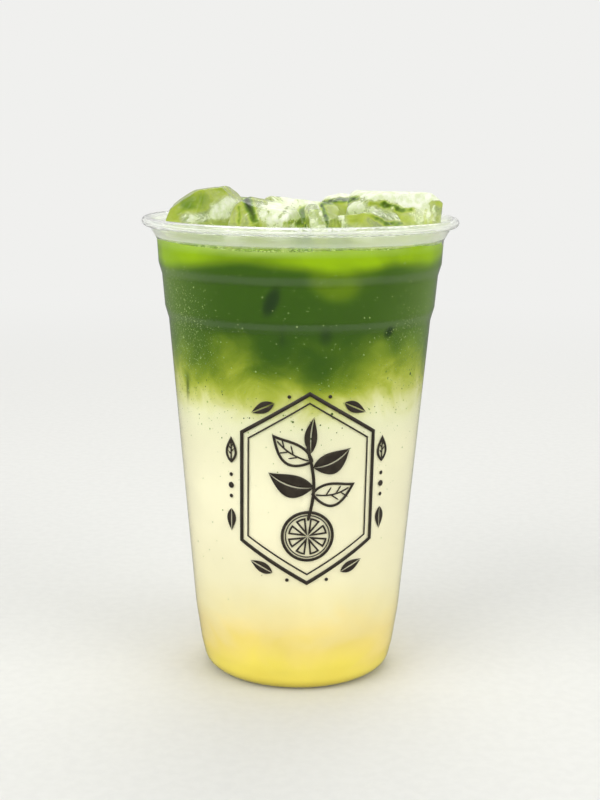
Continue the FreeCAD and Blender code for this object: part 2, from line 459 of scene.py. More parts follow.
@dataclass(frozen=True)
class LayeredDrink:
    """Drink behind the sheet: its colour follows the level, clouded where the layers meet.

    Light and shade are painted over it: a glow under the top where light comes through, lighter sides, a
    highlight along the top edge, and dark shade where sunk ice lies on the wall.
    """

    stops: tuple[tuple[float, Colour], ...] = (
        (0, (253, 234, 102)), (8, (254, 238, 116)), (15, (252, 233, 139)), (22, (251, 235, 170)),
        (29, (249, 239, 190)), (37, (251, 245, 210)), (50, (253, 248, 218)), (64, (251, 247, 218)),
        (77, (246, 243, 212)), (84, (243, 242, 209)), (87, (240, 240, 201)), (90, (229, 230, 170)),
        (93, (210, 214, 126)), (96, (186, 196, 80)), (99, (156, 172, 54)), (102, (128, 151, 42)),
        (105, (102, 130, 34)), (108, (80, 111, 27)), (112, (64, 98, 25)), (120, (64, 98, 25)),
        (129, (66, 101, 24)), (138, (68, 104, 22)))
    # Colours of painted light and shade: the glow under the top, shade where sunk ice lies on the wall, the
    # highlight along the top edge and the lighter sides.
    bright: Colour = (162, 198, 18)
    deep: Colour = (40, 62, 32)
    pale: Colour = (176, 200, 110)
    side: Colour = (150, 180, 92)
    top: float = 140.0
    meeting: tuple[float, float, float, float] = (80, 92, 108, 124)
    golden: tuple[float, float, float, float] = (2, 8, 22, 40)

    def make(self) -> Material:
        """Builds the material.

        Returns:
            The finished material.
        """
        shader = Shader("layered_drink")
        level = shader.value("level")
        wisps = shader.math("SUBTRACT", shader.noise(85, 5, 0.55, 0.6, (1, 1, 1.15)), 0.5)
        swirl = shader.math("SUBTRACT", shader.noise(38, 3, 0.5, 1.6, (1, 1, 1.7)), 0.5)
        for drift, reach, heights in ((wisps, 17.0, self.meeting), (swirl, 15.0, self.golden)):
            share = shader.band(shader.value("level"), *heights)
            level = shader.math("MULTIPLY_ADD", shader.math("MULTIPLY", drift, reach), share, level)
        colour = shader.ramp(shader.math("DIVIDE", level, self.top), self.stops, self.top)
        broken = shader.span(shader.noise(70, 3, 0.5, 0.8), 0.3, 0.7, 0.78, 1.12)
        # Painted light and shade over the drink's colour: lighter sides, the glow under the top, shade where
        # sunk ice lies on the wall, and the highlight along the top edge.
        for share, look in ((shader.value("side"), self.side),
                            (shader.math("MULTIPLY", shader.value("glow"), broken), self.bright),
                            (shader.span(shader.value("deep"), 0.05, 1.0, 0.0, 0.9), self.deep),
                            (shader.value("pale"), self.pale)):
            colour = shader.blend(share, colour, tone(*look))
        cloud = shader.span(shader.noise(30, 3, 0.55, 0.5), 0.3, 0.7, 0.94, 1.0)
        shade = shader.add("ShaderNodeCombineColor", dict.fromkeys(range(3), cloud))
        colour = shader.blend(1.0, colour, shade.outputs["Color"], "MULTIPLY")
        shader.set(Base_Color=colour, Roughness=shader.span(cloud, 0.94, 1.0, 0.6, 0.42),
                   Specular_IOR_Level=0.0)
        return shader.material


@dataclass(frozen=True)
class TeaSurface:
    """The open top of the tea: bright green with a fine foam.

    Painted shade darkens it in the wells under the ice, and the tea drawn up between blocks is darker as
    painted shade of the gaps.
    """

    foam: Colour = (168, 190, 88)
    tea: Colour = (112, 148, 36)
    # Painted shade: in the wells under the ice, and on the tea drawn up between blocks.
    shade: Colour = (46, 76, 24)
    film: Colour = (84, 118, 34)

    def make(self) -> Material:
        """Builds the material.

        Returns:
            The finished material.
        """
        shader = Shader("tea_surface")
        froth = shader.span(shader.noise(260, 4, 0.65, 0.4), 0.45, 0.72)
        colour = shader.blend(froth, tone(*self.tea), tone(*self.foam))
        # Painted shade in the wells under the ice and on the tea drawn up between blocks.
        colour = shader.blend(shader.value("well"), colour, tone(*self.shade))
        colour = shader.blend(shader.value("film"), colour, tone(*self.film))
        shader.set(Base_Color=colour, Roughness=shader.span(froth, 0.0, 1.0, 0.12, 0.4), IOR=1.34)
        shader.bump(shader.noise(900, 3, 0.6), 0.4, 0.0003)
        return shader.material


@dataclass(frozen=True)
class WetIce:
    """Melting ice: clear to frosted and wet outside, with painted colour.

    Its green is the tea seen through it, painted in, darkest where strokes paint shade at cracks and edges;
    some of its white is painted highlight.
    """

    shades: tuple[tuple[float, Colour], ...] = (
        (0.0, (240, 245, 214)), (0.18, (226, 236, 180)), (0.34, (212, 222, 128)), (0.5, (188, 204, 74)),
        (0.75, (114, 148, 28)), (1.0, (46, 64, 2)))
    snow: Colour = (252, 254, 238)
    snow_shade: Colour = (222, 232, 188)

    def make(self) -> Material:
        """Builds the material.

        Returns:
            The finished material.
        """
        shader = Shader("wet_ice")
        grain = shader.math("SUBTRACT", shader.noise(170, 4, 0.6, 0.8), 0.5)
        tint = shader.math("ADD", shader.value("tint"), shader.math("MULTIPLY", grain, 0.34))
        rough = shader.math("MULTIPLY_ADD", shader.noise(300, 5, 0.7, 0.6), 1.7, -0.92)
        frosted = shader.span(shader.math("ADD", shader.value("frost"), rough), 0.0, 0.9, 0.0, 0.95)
        fine = shader.noise(420, 4, 0.7)
        snow = shader.blend(shader.span(fine, 0.38, 0.6), tone(*self.snow_shade), tone(*self.snow))
        # Less light passes where the painted tint or the frost is strong, so that their colour shows.
        clear = shader.math("MULTIPLY", shader.span(shader.value("tint"), 0.15, 0.6, 0.8, 0.3),
                            shader.span(frosted, 0.0, 0.9, 1.0, 0.15))
        shader.set(Base_Color=shader.blend(frosted, shader.ramp(tint, self.shades), snow), IOR=1.31,
                   Roughness=shader.span(frosted, 0.0, 1.0, 0.08, 0.5), Transmission_Weight=clear)
        pits = shader.math("MULTIPLY_ADD", shader.noise(110, 2), 1.4, shader.noise(420, 4, 0.6))
        shader.bump(pits, 0.28, 0.0008)
        return shader.material


@dataclass(frozen=True)
class Speckle:
    """A plain small thing, such as a bubble, a tea speck or a froth bead."""

    name: str
    light: Colour
    dark: Colour
    roughness: float
    scale: float = 700.0

    def make(self) -> Material:
        """Builds the material.

        Returns:
            The finished material.
        """
        shader = Shader(self.name)
        vary = shader.span(shader.noise(self.scale, 2), 0.35, 0.65)
        rough = shader.span(vary, 0.0, 1.0, self.roughness, self.roughness * 0.7)
        shader.set(Base_Color=shader.blend(vary, tone(*self.dark), tone(*self.light)), Roughness=rough,
                   IOR=1.33)
        return shader.material


@dataclass(frozen=True)
class Ink:
    """Dark screen-printed ink, thinner in places."""

    full: Colour = (44, 36, 24)
    thin: Colour = (58, 50, 34)

    def make(self) -> Material:
        """Builds the material.

        Returns:
            The finished material.
        """
        shader = Shader("print_ink")
        worn = shader.span(shader.noise(500, 4, 0.6), 0.4, 0.7)
        shader.set(Base_Color=shader.blend(worn, tone(*self.full), tone(*self.thin)),
                   Roughness=shader.span(worn, 0.0, 1.0, 0.42, 0.6))
        shader.bump(shader.noise(1600, 2), 0.15, 0.0001)
        return shader.material


@dataclass(frozen=True)
class Studio:
    """Pale matt floor, which far out looks as bright as the backdrop so that no horizon shows.

    In reflections it is dim, as under a product on a dark table, so that the sheet stays clear.
    """

    colour: Colour = (222, 222, 218)
    backdrop: Colour = (240, 240, 238)
    near: float = 0.25
    far: float = 0.95
    mirrored: float = 0.22

    def make(self) -> Material:
        """Builds the material.

        Returns:
            The finished material.
        """
        shader = Shader("floor_paper")
        fibre = shader.span(shader.noise(300, 3), 0.3, 0.7, 0.0, 1.0)
        low = tuple(int(0.99 * part) for part in self.colour)
        shader.set(Base_Color=shader.blend(fibre, tone(*low), tone(*self.colour)), Roughness=0.85,
                   Specular_IOR_Level=0.1)
        away = shader.add("ShaderNodeVectorMath", {0: shader.where}, operation="LENGTH").outputs["Value"]
        path = shader.add("ShaderNodeLightPath").outputs
        seen = shader.math("MAXIMUM", path["Is Camera Ray"], path["Is Transmission Ray"])
        share = shader.math("MULTIPLY", shader.span(away, self.near, self.far), seen)
        glow = shader.add("ShaderNodeEmission", {"Color": tone(*self.backdrop)}).outputs[0]
        dim = shader.add("ShaderNodeEmission", {"Color": (self.mirrored,) * 3 + (1,)}).outputs[0]
        bounced = shader.math("SUBTRACT", path["Is Glossy Ray"], path["Is Transmission Ray"])
        look = shader.mixed(share, shader.body.outputs["BSDF"], glow)
        look = shader.mixed(shader.math("MAXIMUM", bounced, 0.0), look, dim)
        shader.feed(shader.output.inputs["Surface"], look)
        return shader.material


@dataclass
class Cup:
    """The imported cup: its finish, and its outlines as the other pieces need them."""

    part: bpy.types.Object
    pivot: float = 60.0
    surface: float = 137.0
    bearing: float = 0.31
    tree: BVHTree = field(init=False)
    skin: Array = field(init=False)

    def __post_init__(self) -> None:
        """Reads the outlines."""
        self.tree = BVHTree.FromObject(self.part, bpy.context.evaluated_depsgraph_get())
        self.skin = self.outline_outside()

    def hit(self, start: Pair, aim: Pair) -> Pair:
        """Where a ray in a plane through the axis meets the cup.

        Args:
            start: radius and height that it starts from.
            aim: its direction as radius and height.

        Returns:
            Radius and height of the hit.
        """
        side = Vector((math.sin(self.bearing), -math.cos(self.bearing), 0))
        up = Vector((0, 0, 1))
        origin = (side * start[0] + up * start[1]) * MM
        point = self.tree.ray_cast(origin, side * aim[0] + up * aim[1])[0]
        return float(math.hypot(point.x, point.y) / MM), float(point.z / MM)

    def outline_inside(self) -> Array:
        """Inner outline from the middle of the base up to the drink's surface.

        Returns:
            Radius and height of each point. Rays fan out from a pivot on the axis, then go level.
        """
        fan = np.radians(np.concatenate([np.linspace(-90, -71, 14), np.linspace(-70.5, -50, 60),
                                         np.linspace(-49, -2, 48)]))
        points = [self.hit((0.0, self.pivot), (math.cos(turn), math.sin(turn))) for turn in fan]
        points += [self.hit((0.0, float(height)), (1.0, 0.0))
                   for height in np.arange(self.pivot, self.surface + 2.0, 0.4)]
        return np.array(points)

    def outline_outside(self) -> Array:
        """Outer radius at heights up the wall, as pairs of height and radius."""
        heights = np.arange(10.0, 136.0, 0.5)
        return np.array([(height, self.hit((60.0, float(height)), (-1.0, 0.0))[0]) for height in heights])

    def outer_radius(self, height: Array) -> Array:
        """Outer radius of the wall at each height."""
        return np.interp(height, self.skin[:, 0], self.skin[:, 1])

    def dress(self) -> None:
        """Gives the cup its finish, and lets the lamps through it."""
        sheet = ClearSheet().make()
        for slot in self.part.material_slots:
            slot.material = sheet
        self.part.visible_shadow = False
        LOG.info("cup: clear sheet on the packed part")


@dataclass(frozen=True)
class Stroke:
    """A soft stroke of painted colour in a block, drawn against the upright plane through the axis.

    Its tint paints the tea seen through the ice, darkest as painted shade at cracks and edges; its white is
    partly frost and partly painted highlight.

    It runs between two points of that plane, x and height, as they are seen from the front.
    """

    x0: float
    z0: float
    x1: float
    z1: float
    half: float
    tint: float
    frost: float
    share: float

    def at(self, flat: Array) -> Array:
        """Its share at flat points: share times exp of minus (distance / half width) ** 3.

        Args:
            flat: x and height of each point, as seen from the front.

        Returns:
            The share at each point.
        """
        start, way = np.array([self.x0, self.z0]), np.array([self.x1 - self.x0, self.z1 - self.z0])
        along = np.clip(((flat - start) @ way) / max(way @ way, 1e-9), 0, 1)
        off = flat - start - along[:, None] * way
        return self.share * np.exp(-(np.sum(off * off, axis=1) / self.half**2) ** 1.5)


# Each block's strokes, in the order of Stroke's fields: they paint the tea seen through the ice, painted
# shade at cracks and edges, frost, and painted highlights.
STROKES: dict[str, tuple[Stroke, ...]] = {node: tuple(Stroke(*row) for row in rows) for node, rows in {
    "ice_left": (
        (-43.5, 140.4, -18.6, 140.6, 4.4, 0.44, 0.1, 0.8),
        (-34.1, 150, -24.2, 151.9, 2.2, 0.42, 0, 0.9),
        (-25.8, 153.1, -20.5, 149.8, 1.4, 0.62, 0, 0.85), (-36.9, 146.6, -31, 148.8, 3.3, 0.72, 0, 1),
        (-32.3, 145.7, -29.2, 147.3, 1.6, 0.6, 0, 0.9), (-41, 143.5, -38.5, 147.5, 1.6, 0.52, 0, 0.9),
        (-35.7, 143.5, -29.8, 143.9, 1.9, 0.14, 0.45, 0.95),
        (-26.1, 145.8, -22, 148.6, 2.5, 0.1, 0.85, 1),
        (-28.6, 144.2, -22.4, 144.9, 1.2, 0.18, 0.6, 0.9),
        (-29.2, 142.3, -20.5, 142.4, 0.9, 0.34, 0.1, 0.9)),
    "ice_front_left": (
        (-19.9, 144, -18.3, 146.7, 2.2, 0.46, 0.15, 0.95), (-19, 141.8, -19, 147.1, 0.5, 0.85, 0, 0.8),
        (-20.5, 141.8, -20.5, 146.1, 0.4, 0.2, 0.2, 0.6),
        (-14.9, 149.9, -14, 145.6, 1.4, 0.36, 0.05, 0.95), (-16.8, 149.5, -13.4, 142.2, 1.6, 1, 0, 1),
        (-12.4, 148.6, -11.2, 143.1, 1.5, 0.26, 0.2, 0.9),
        (-15.5, 141.8, -11.2, 141.9, 0.8, 0.6, 0, 0.9), (-10, 145.6, -1.3, 145, 3.7, 0.1, 0.78, 0.95),
        (-6.8, 143.8, -3.8, 147.5, 0.5, 0.3, 0.3, 0.8),
        (-10.6, 146.8, -8.7, 143.4, 0.4, 0.34, 0.3, 0.7),
        (-12.8, 149.6, -9.4, 149.9, 0.9, 0.42, 0, 0.85),
        (-10.9, 148.4, -10.6, 148.4, 0.6, 0.6, 0, 0.8), (-3.2, 149, -1.9, 147.5, 1.2, 0.34, 0.2, 0.7),
        (-5, 142.1, -2.5, 143, 0.7, 0.9, 0, 0.9), (-0.9, 142.3, 1.2, 143.4, 1.1, 1, 0, 1)),
    "ice_middle": (
        (-4.7, 149.9, 3.7, 148.5, 1.7, 0.08, 0.85, 0.95), (-1.3, 149.4, 0, 147.5, 0.4, 0.36, 0.2, 0.7),
        (0.9, 146.3, 0.9, 144.1, 1.7, 0.85, 0, 1), (9.3, 147, 11.1, 145.8, 2.8, 0.38, 0.1, 0.9),
        (6.5, 147.9, 8.4, 142.7, 0.8, 1, 0, 1), (6.8, 148.4, 12.3, 149.3, 0.8, 1, 0, 0.95)),
    "ice_slab": (
        (3.7, 145.1, 6.2, 144.5, 3.7, 0.15, 0.5, 0.9), (1.2, 146, 1.9, 142.9, 0.9, 0.72, 0, 0.9),
        (6.8, 147.6, 8.7, 142.7, 0.6, 0.95, 0, 0.95), (4.6, 147.3, 6.5, 142.3, 0.6, 0.36, 0, 0.7)),
    "ice_front_right": (
        (9.9, 143.9, 11.2, 142.1, 2.2, 0.36, 0.1, 0.8),
        (12.4, 145.8, 14.3, 142.4, 1.6, 0.05, 0.8, 0.95), (16.1, 143.7, 20.5, 144.9, 2.5, 0.52, 0, 1),
        (22, 143.7, 25.2, 141.6, 1.4, 0.22, 0, 0.95), (19.2, 147.1, 24.5, 145.3, 1.1, 0.08, 0.6, 0.95),
        (24.5, 145.3, 31.7, 143.8, 1.1, 0.1, 0.5, 0.95), (20.4, 145.7, 23.6, 144, 0.7, 0.74, 0, 1),
        (23.6, 144, 26.7, 142.4, 0.9, 0.86, 0, 1), (26.7, 142.4, 32.3, 142.7, 0.9, 0.92, 0, 1),
        (31.9, 145.3, 33.9, 142.3, 1.2, 0.38, 0.1, 0.9)),
    "ice_right": (
        (14.8, 151.5, 43.2, 152, 2, 0.05, 0.9, 0.95), (32.2, 148.7, 41.1, 150, 2.8, 0, 1, 1),
        (14.5, 149.6, 17.6, 150.3, 0.9, 1, 0, 1), (16.7, 147.7, 22.3, 147.6, 1.2, 0.08, 0.7, 0.95),
        (24.8, 146.2, 29.8, 145, 1.4, 0.2, 0.3, 0.9), (21.6, 148.6, 26, 148.4, 0.9, 0.72, 0, 1),
        (26, 148.4, 31.6, 146.7, 1.1, 1, 0, 1), (31.6, 146.4, 35.3, 146.8, 0.8, 0.85, 0, 1),
        (22, 146.3, 24.5, 146.4, 0.7, 0.02, 1, 1), (28.2, 147.1, 28.5, 147.1, 0.6, 0, 1, 1),
        (30.4, 144.7, 34.4, 143.8, 1.4, 0.48, 0, 0.9), (36.9, 146, 37.6, 143.5, 1.9, 0.2, 0.4, 0.9),
        (38.7, 146.6, 38.8, 142.6, 0.5, 0.6, 0, 0.8), (40.5, 148.2, 40.7, 142.6, 0.5, 0.55, 0, 0.8),
        (42.7, 147.9, 42.8, 143, 1.4, 0.28, 0.1, 0.9), (40.2, 149.1, 43.6, 148.7, 0.9, 0.6, 0, 0.95)),
    "ice_back_right": (
        (6.1, 150.6, 16, 151.3, 1.4, 0.04, 1, 0.95), (7.4, 149, 15.4, 150, 0.9, 1, 0, 1)),
    "ice_back_left": (
        (-18.6, 149.5, -15.5, 149.5, 1.5, 0.7, 0, 0.9),),
}.items()}


@dataclass
class IceBlock:
    """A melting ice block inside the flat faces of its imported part."""

    node: str
    seed: int
    # The block's base tint paints the tea seen through it; its base frost is frost.
    tint: float
    frost: float
    melt: float = 60.0
    rows: int = 112
    columns: int = 168
    eye: Pair = (437.2, 173.9)
    smallest_face: float = 30.0
    centre: Array = field(init=False)
    normals: Array = field(init=False)
    reach: Array = field(init=False)
    hull: Array = field(init=False)

    def __post_init__(self) -> None:
        """Finds the block's flat faces: their outward normals and their distances from its middle."""
        mesh = frame["nodes"][self.node].data
        read = {key: np.zeros(len(mesh.polygons) * width)
                for key, width in (("normal", 3), ("center", 3), ("area", 1))}
        for key, numbers in read.items():
            mesh.polygons.foreach_get(key, numbers)
        normals, areas = read["normal"].reshape(-1, 3), read["area"] / MM**2
        low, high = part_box(self.node)
        self.centre = np.array((low + high) / 2) / MM
        distance = np.einsum("ij,ij->i", read["center"].reshape(-1, 3) / MM - self.centre, normals)
        left, found = np.ones(len(areas), bool), []
        for index in np.argsort(-areas):
            if left[index]:
                same = left & (normals @ normals[index] > 0.9995) & (abs(distance - distance[index]) < 0.2)
                left &= ~same
                found.append((*normals[index], distance[index], areas[same].sum()))
        flat = np.array(found)
        self.hull = flat[flat[:, 4] > 0.6, :4]
        flat = flat[flat[:, 4] > self.smallest_face]
        self.normals, self.reach = flat[:, :3], flat[:, 3]

    def depth(self, points: Array) -> Array:
        """How far inside the block each point is, in millimetres; outside is negative."""
        return np.min(self.reach - (points - self.centre) @ self.normals.T, axis=-1)

    def build(self, surface: float) -> Surface:
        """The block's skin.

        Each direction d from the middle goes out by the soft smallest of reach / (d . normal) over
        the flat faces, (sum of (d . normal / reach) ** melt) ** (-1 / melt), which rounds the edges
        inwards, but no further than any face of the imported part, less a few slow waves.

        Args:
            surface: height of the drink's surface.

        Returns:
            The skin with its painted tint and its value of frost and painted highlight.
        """
        aim = ball_directions(self.rows, self.columns)
        facing = np.maximum(aim @ self.normals.T, 0) / self.reach
        limit = 1 / np.max(np.maximum(aim @ self.hull[:, :3].T, 1e-6) / self.hull[:, 3], axis=1)
        out = np.minimum(np.sum(facing**self.melt, axis=1) ** (-1 / self.melt), limit)
        rng = np.random.default_rng(self.seed)
        bare = self.centre + aim * out[:, None]
        waves = np.zeros(len(aim))
        for size, length in ((0.20, 12.0), (0.13, 6.0), (0.06, 2.9)):
            way = rng.normal(size=(3, 3))
            way = way / np.linalg.norm(way, axis=1)[:, None] * (2 * np.pi / length)
            first, second = rng.uniform(0, 6), rng.uniform(0, 6)
            waves += size * np.sin(bare @ way[0] + first) * np.cos(bare @ way[1] + second)
        out = out - 0.05 - np.maximum(waves + 0.15, 0) * 0.8
        skin = ball_surface(self.rows, self.columns, out, self.centre)
        skin.values = self.looks(skin.points, surface)
        return skin

    def looks(self, points: Array, surface: float) -> dict[str, Array]:
        """Painted tint, and frost with painted highlights: slow clouds, greener low down where the tea shows
        through, with the block's own strokes over them.

        A point is seen from the front at x and height scaled about the eye by eye / (eye + y).

        Args:
            points: the skin's points.
            surface: height of the drink's surface.

        Returns:
            The two values at each point.
        """
        x, y, z = points.T
        near = self.eye[0] / (self.eye[0] + y)
        waver = 0.16 * np.sin(1.3 * x + 1.7 * z + self.seed), 0.16 * np.cos(1.5 * z - 1.1 * x + self.seed)
        flat = np.stack([x * near + waver[0], self.eye[1] + (z - self.eye[1]) * near + waver[1]], -1)
        cloud = np.sin(0.5 * x + self.seed) * np.cos(0.45 * y) + np.sin(0.7 * z + 0.3 * x - 0.4 * y)
        # Painted: greener low down, where the tea just below shows through.
        tint = self.tint + 0.08 * cloud + 0.25 * np.clip(1 - (z - surface) / 9.0, 0, 1)
        frost = np.clip(self.frost - 0.2 * cloud, 0, 1) * np.clip((z - surface + 4) / 8, 0, 1)
        across, up = flat.T
        broken = 0.5 + 0.5 * np.sin(2.3 * across + 1.1 * self.seed) * np.cos(2.9 * up - 0.7 * across)
        # Strokes paint the tea seen through, shade at cracks and edges, frost and highlights.
        for stroke in STROKES.get(self.node, ()):
            share = stroke.at(flat)
            share = share * (1 - 0.5 * np.clip(1.6 - stroke.half, 0, 1) * broken)
            tint += share * (stroke.tint - tint)
            frost += share * (stroke.frost - frost)
        return {"tint": np.clip(tint, 0, 1), "frost": frost}

    def specks(self, count: int) -> tuple[Array, Array]:
        """Air specks inside the block, closer together near its middle.

        Args:
            count: how many to try.

        Returns:
            Their middles and radii, for those well inside.
        """
        rng = np.random.default_rng(self.seed + 100)
        spread = (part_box(self.node)[1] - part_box(self.node)[0]) / MM
        at = self.centre + [0, 0, 2.0] + rng.normal(size=(count, 3)) * np.array(spread) * 0.17
        size = rng.gamma(2.0, 0.075, count) + 0.06
        inside = self.depth(at) > 1.6
        return at[inside], np.minimum(size[inside], 0.45)


@dataclass
class Ice:
    """All blocks that float in the mouth, and the air caught in them."""

    surface: float
    specks_each: int = 90
    blocks: tuple[IceBlock, ...] = field(default_factory=lambda: (
        IceBlock("ice_left", 3, 0.44, 0.1),
        IceBlock("ice_front_left", 5, 0.24, 0.4),
        IceBlock("ice_slab", 7, 0.2, 0.3),
        IceBlock("ice_front_right", 11, 0.26, 0.25),
        IceBlock("ice_right", 13, 0.2, 0.35),
        IceBlock("ice_middle", 17, 0.3, 0.4),
        IceBlock("ice_back_right", 19, 0.34, 0.4),
        IceBlock("ice_back_left", 23, 0.4, 0.3),
        IceBlock("ice_back", 29, 0.34, 0.4)))

    def depth(self, points: Array) -> Array:
        """How far inside the nearest block each point is."""
        return np.max([block.depth(points) for block in self.blocks], axis=0)

    def pinch(self, points: Array) -> Array:
        """Width of the gap between the two nearest blocks; inside a block it is 9."""
        nearest = np.sort([block.depth(points) for block in self.blocks], axis=0)
        return np.where(nearest[-1] > 0, 9.0, -nearest[-1] - nearest[-2])

    def build(self) -> None:
        """Makes the blocks and their air specks."""
        wet = WetIce().make()
        for block in self.blocks:
            piece = place(block.build(self.surface), "clear_" + block.node, Slot.ICE, [wet], block.node)
            piece.visible_shadow = False
        found = [block.specks(self.specks_each) for block in self.blocks]
        middles, sizes = (np.concatenate(part) for part in zip(*found))
        air = Speckle("air_in_ice", (250, 252, 244), (226, 236, 206), 0.3).make()
        place(beads(middles, sizes, 4, 6), "air_specks", Slot.ICE, [air])


@dataclass(frozen=True)
class Plume:
    """A soft spot on the wall that raises or lowers a value round its middle.

    It leans by so many degrees for each millimetre of height, and a higher edge is crisper.
    """

    bearing: float
    height: float
    spread: float
    tall: float
    amount: float
    lean: float = 0.0
    edge: float = 1.0

    def at(self, bearing: Array, height: Array) -> Array:
        """Its share: amount times exp of minus the scaled distance ** (2 edge).

        Args:
            bearing, height: where each point is.

        Returns:
            The share at each point.
        """
        up = height - self.height
        aside = (bearing - self.bearing - self.lean * up + 180) % 360 - 180
        return self.amount * np.exp(-(((aside / self.spread) ** 2 + (up / self.tall) ** 2) ** self.edge))


def plumes(*rows: tuple[float, ...]) -> tuple[Plume, ...]:
    """Plumes from rows of their numbers, in the order of their fields."""
    return tuple(Plume(*row) for row in rows)


def total(group: tuple[Plume, ...], bearing: Array, height: Array) -> Array:
    """All of a group's shares added up."""
    return sum(plume.at(bearing, height) for plume in group)


@dataclass
class Drink:
    """The drink in three layers that share one run of colour."""

    cup: Cup
    ice: Ice
    columns: int = 256
    sunk_in_wall: float = 0.15
    syrup_top: float = 22.0
    soda_top: float = 98.0
    surface: float = 137.0
    climb: float = 0.5
    climb_width: float = 1.4
    film_height: float = 8.5
    film_width: float = 1.9
    well_depth: float = 8.0
    steep: float = 1.5
    dip_from: float = 0.6
    ripple: float = 0.1
    wetting: float = 0.7
    wetting_width: float = 1.1
    heel: float = 20.0
    climbs: tuple[Plume, ...] = plumes(
        (-62, 0, 18, 1, 0.7), (18, 0, 12, 1, 0.35), (50, 0, 9, 1, 0.5), (-14, 0, 16, 1, -0.2),
        (120, 0, 25, 1, 0.5), (200, 0, 20, 1, 0.6))
    meeting: tuple[Plume, ...] = plumes(
        (15, 102, 5.5, 4.5, -3.6), (61, 111, 6, 5, -3.0), (-33, 102, 5, 4, -1.6),
        (-28, 108, 11, 6.5, -3.6), (-48, 101, 8, 6, 2.0), (-13, 108, 8, 7, 5.0),
        (12, 101, 11, 6, 8.0), (0, 106, 14, 6, 3.0), (36, 104, 10, 5, -2.0),
        (60, 103, 14, 8, -4.6), (-62, 103, 10, 6, -2.2), (-59, 96, 4.0, 5.0, 5.5),
        (-38, 93, 9, 7, -2.0), (-12, 93, 6, 6, 3.0), (24, 93, 7, 5, 1.0),
        (-27, 112, 11, 3.6, -4.2), (34, 111, 11, 4.2, -4.6), (-30, 96, 9, 5, 2.4),
        (0, 96, 6, 3.5, -2.2), (31, 95, 8, 4, -3.4))
    # Painted glow under the top: these move its lower edge, and the next ones add or take away glow in spots.
    glow_edge_shifts: tuple[Plume, ...] = plumes(
        (-64, 131, 14, 12, 2.0), (18, 131, 13, 12, 1.2), (62, 131, 12, 12, 0.9),
        (-22, 131, 14, 12, -0.8), (39, 131, 7, 12, -0.6), (-45, 131, 6, 12, 0.4))
    glow_spots: tuple[Plume, ...] = plumes(
        (13.5, 128.4, 9.6, 5.2, 0.32, -0.4, 2.2), (25, 130.5, 6, 3.0, 0.12),
        (-22, 136.0, 17, 3.2, -0.38, 0.0, 1.6), (-62, 131, 9, 3, 0.08))
    # Painted shade: dark spots where sunk ice lies against the wall, round the front and the back.
    sunk_ice_shade_spots: tuple[Plume, ...] = plumes(
        (-11, 123, 3.4, 4.8, 0.9, 0.45, 2.0), (10.7, 112.8, 3.2, 3.0, 0.6, 0.0, 1.6),
        (40, 113.2, 2.9, 2.0, 0.85, 0.4, 1.8), (-59.5, 94, 1.7, 4.6, 0.75, 0.25),
        (-7, 111.5, 5, 2.6, 0.4), (-6.3, 117, 0.8, 6.5, 0.4, 0.12), (43, 122.5, 0.9, 1.6, 0.5),
        (-70, 119, 5, 4, 0.2), (-36, 127.6, 12, 1.2, 0.2), (53, 138.2, 6, 1.3, 0.45),
        *((bearing, height, 3.6, 3.4, 0.85) for bearing, height in
          ((98, 118), (131, 109), (168, 122), (214, 112), (251, 119))))
    # Painted highlight along the top edge, stronger or weaker at these spots.
    edge_highlight_spots: tuple[Plume, ...] = plumes((-14, 138, 20, 3, 0.6), (50, 138, 7, 3, -0.35))
    # One more spot of the painted lighter sides.
    haze_and_sheen: Plume = Plume(38, 118, 20, 16, 0.05)
    glow_from: float = 131.0
    glow_rise: float = 4.2
    # Painted lighter sides: how strong, and from what height they rise.
    side_sheen: float = 0.4
    side_from: float = 95.0
    side_rise: float = 20.0
    amber_lift: float = 7.0
    amber_top: float = 48.0
    amber_fall: float = 24.0
    # Painted highlight along the top edge: its share, and the height where it starts.
    pale_share: float = 0.4
    pale_from: float = 135.4
    pale_rise: float = 1.8

    def scattered(self, seed: int, count: int, low: float, high: float, sizes: Pair,
                  talls: Pair, strength: float) -> tuple[Plume, ...]:
        """Plumes by chance round the sides and back, where the front's own leave off.

        Args:
            seed, count: the random seed and how many plumes.
            low, high: the heights they lie between.
            sizes, talls: least and most spread round the wall and up it.
            strength: the most that one raises or lowers its value.

        Returns:
            The plumes.
        """
        rng = np.random.default_rng(seed)
        return tuple(Plume(float(rng.uniform(85, 275)), float(rng.uniform(low, high)),
                           float(rng.uniform(*sizes)), float(rng.uniform(*talls)),
                           float(rng.uniform(-strength, strength))) for _ in range(count))

    def tinted(self, surface: Surface) -> Surface:
        """Adds the values that the drink's finish reads.

        Args:
            surface: a layer's surface.

        Returns:
            The same surface with its level, and values that paint light and shade: the glow under the top,
            dark shade where sunk ice lies on the wall, the highlight along the top edge, the lighter sides,
            shade in the wells under the ice, and the tea film between blocks, darker as painted shade.
        """
        x, y, z = surface.points.T
        bearing = np.degrees(np.arctan2(x, -y))
        mix = self.meeting + self.scattered(41, 16, 96, 109, (7, 14), (4, 7), 7.0)
        glow_spots = self.glow_spots + self.scattered(43, 12, 127, 133, (8, 16), (2.5, 5), 0.3)
        glow_edge_shifts = self.glow_edge_shifts + self.scattered(47, 10, 130, 132, (10, 20), (11, 12), 1.8)
        # How far towards the sides a point is: it sets the painted lighter sides, and lifts the level there
        # low down.
        away = np.clip((np.abs(np.sin(np.radians(bearing))) - 0.42) / 0.5, 0, 1)
        band = np.clip((z + total(glow_edge_shifts, bearing, z) - self.glow_from) / self.glow_rise, 0, 1)
        glow = band * band * (3 - 2 * band) + total(glow_spots, bearing, z)
        haze_and_sheen = self.side_sheen * away**2.4 + self.haze_and_sheen.at(bearing, z)
        amber = np.clip((self.amber_top - z) / self.amber_fall, 0, 1)
        pale = self.pale_share + total(self.edge_highlight_spots, bearing, z)
